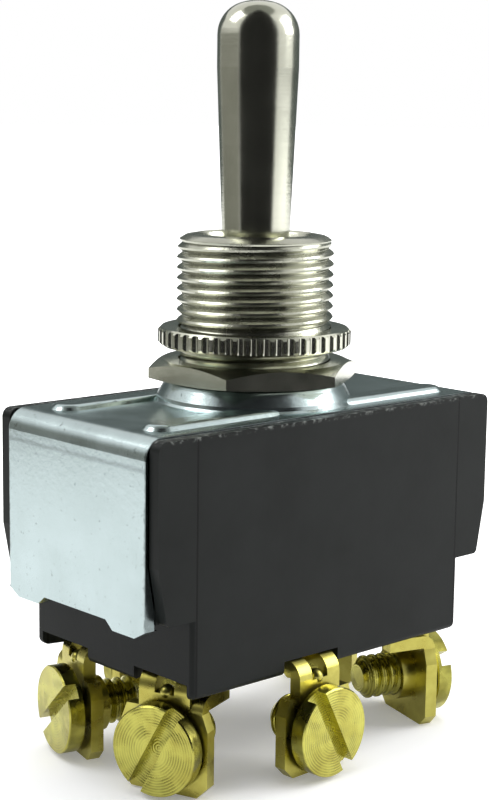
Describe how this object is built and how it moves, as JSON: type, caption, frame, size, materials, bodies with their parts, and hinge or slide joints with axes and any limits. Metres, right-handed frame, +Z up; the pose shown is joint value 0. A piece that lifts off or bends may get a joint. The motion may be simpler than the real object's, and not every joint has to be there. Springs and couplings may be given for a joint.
{
  "type": "toggle switch",
  "caption": "Panel-mount bat-handle toggle switch with a threaded bushing, two nuts, a black moulded case in a metal frame and brass screw terminals below.",
  "frame": {"origin": "on the axis of the threaded bushing, at the level of the lower edges of the terminal plates that the switch stands on", "axes": "+Z up along the bushing towards the lever; X along the long side of the case, the direction in which the lever tilts; Y across the case, front pole at -Y"},
  "size_m": [0.0342, 0.0234, 0.0565],
  "materials": {
    "nickel_plate": "bright nickel plate, turned",
    "zinc_plate": "pale zinc plate on sheet steel",
    "black_phenolic": "moulded black phenolic, faint sheen",
    "vulcanised_fibre": "grey fibre sheet",
    "natural_nylon": "natural moulded nylon",
    "spring_steel": "drawn steel",
    "copper": "bright copper sheet",
    "silver": "silver button",
    "brass": "bright brass, turned and blanked"
  },
  "bodies": {
    "switch_body": {"case": "black_phenolic", "frame": "zinc_plate", "insulating_liner": "vulcanised_fibre", "bushing": "nickel_plate", "lever_pin": "spring_steel", "fulcrum_front": "brass", "fulcrum_back": "brass", "fulcrum_rivets": "brass", "contact_posts": "brass", "fixed_contacts": "silver", "rocker_pin_front": "spring_steel", "rocker_pin_back": "spring_steel", "terminal_front_left": "brass", "terminal_front_centre": "brass", "terminal_front_right": "brass", "terminal_back_left": "brass", "terminal_back_centre": "brass", "terminal_back_right": "brass"},
    "lever": {"toggle_lever": "nickel_plate", "lever_spring": "spring_steel"},
    "plunger": {"plunger": "natural_nylon"},
    "rocker_front": {"rocker_front": "copper", "moving_contacts_front": "silver"},
    "rocker_back": {"rocker_back": "copper", "moving_contacts_back": "silver"},
    "hex_nut": {"hex_nut": "nickel_plate"},
    "knurled_nut": {"knurled_nut": "nickel_plate"},
    "screw_front_left": {"screw_front_left": "brass"},
    "screw_front_centre": {"screw_front_centre": "brass"},
    "screw_front_right": {"screw_front_right": "brass"},
    "screw_back_left": {"screw_back_left": "brass"},
    "screw_back_centre": {"screw_back_centre": "brass"},
    "screw_back_right": {"screw_back_right": "brass"}
  },
  "joints": [
    {"name": "lever_tilt", "type": "hinge", "parent": "switch_body", "child": "lever", "pos_m": [0, 0, 0.03135], "axis": [0, 1, 0], "range_deg": [-11, 11]},
    {"name": "plunger_slide", "type": "slide", "parent": "lever", "child": "plunger", "axis": [0, 0, 1], "range_m": [0, 0.001], "stiffness_N_per_m": 600, "springref_m": -0.0005, "deforming": ["lever_spring"]},
    {"name": "rocker_tilt_front", "type": "hinge", "parent": "switch_body", "child": "rocker_front", "pos_m": [0, -0.00395, 0.0136], "axis": [0, 1, 0], "range_deg": [-6, 6]},
    {"name": "rocker_tilt_back", "type": "hinge", "parent": "switch_body", "child": "rocker_back", "pos_m": [0, 0.00395, 0.0136], "axis": [0, 1, 0], "range_deg": [-6, 6]},
    {"name": "hex_nut_turn", "type": "hinge", "parent": "switch_body", "child": "hex_nut", "pos_m": [0, 0, 0.0291], "axis": [0, 0, 1], "continuous": true},
    {"name": "knurled_nut_turn", "type": "hinge", "parent": "switch_body", "child": "knurled_nut", "pos_m": [0, 0, 0.0316], "axis": [0, 0, 1], "continuous": true},
    {"name": "screw_turn_front_left", "type": "hinge", "parent": "switch_body", "child": "screw_front_left", "pos_m": [-0.01325, -0.0054, 0.00365], "axis": [-0.9397, -0.342, 0], "continuous": true},
    {"name": "screw_turn_front_right", "type": "hinge", "parent": "switch_body", "child": "screw_front_right", "pos_m": [0.01325, -0.0054, 0.00365], "axis": [0.9563, -0.2924, 0], "continuous": true},
    {"name": "screw_turn_front_centre", "type": "hinge", "parent": "switch_body", "child": "screw_front_centre", "pos_m": [-0.0022, -0.01, 0.00365], "axis": [0.0349, -0.9994, 0], "continuous": true},
    {"name": "screw_turn_back_left", "type": "hinge", "parent": "switch_body", "child": "screw_back_left", "pos_m": [-0.01325, 0.0054, 0.00365], "axis": [-0.9681, 0.2504, 0], "continuous": true},
    {"name": "screw_turn_back_right", "type": "hinge", "parent": "switch_body", "child": "screw_back_right", "pos_m": [0.01325, 0.0054, 0.00365], "axis": [0.9563, 0.2924, 0], "continuous": true},
    {"name": "screw_turn_back_centre", "type": "hinge", "parent": "switch_body", "child": "screw_back_centre", "pos_m": [-0.0022, 0.01, 0.00365], "axis": [0.0349, 0.9994, 0], "continuous": true}
  ],
  "couplings": [
    {"joint": "rocker_tilt_front", "follows": "lever_tilt", "ratio": -0.54545},
    {"joint": "rocker_tilt_back", "follows": "lever_tilt", "ratio": -0.54545}
  ]
}
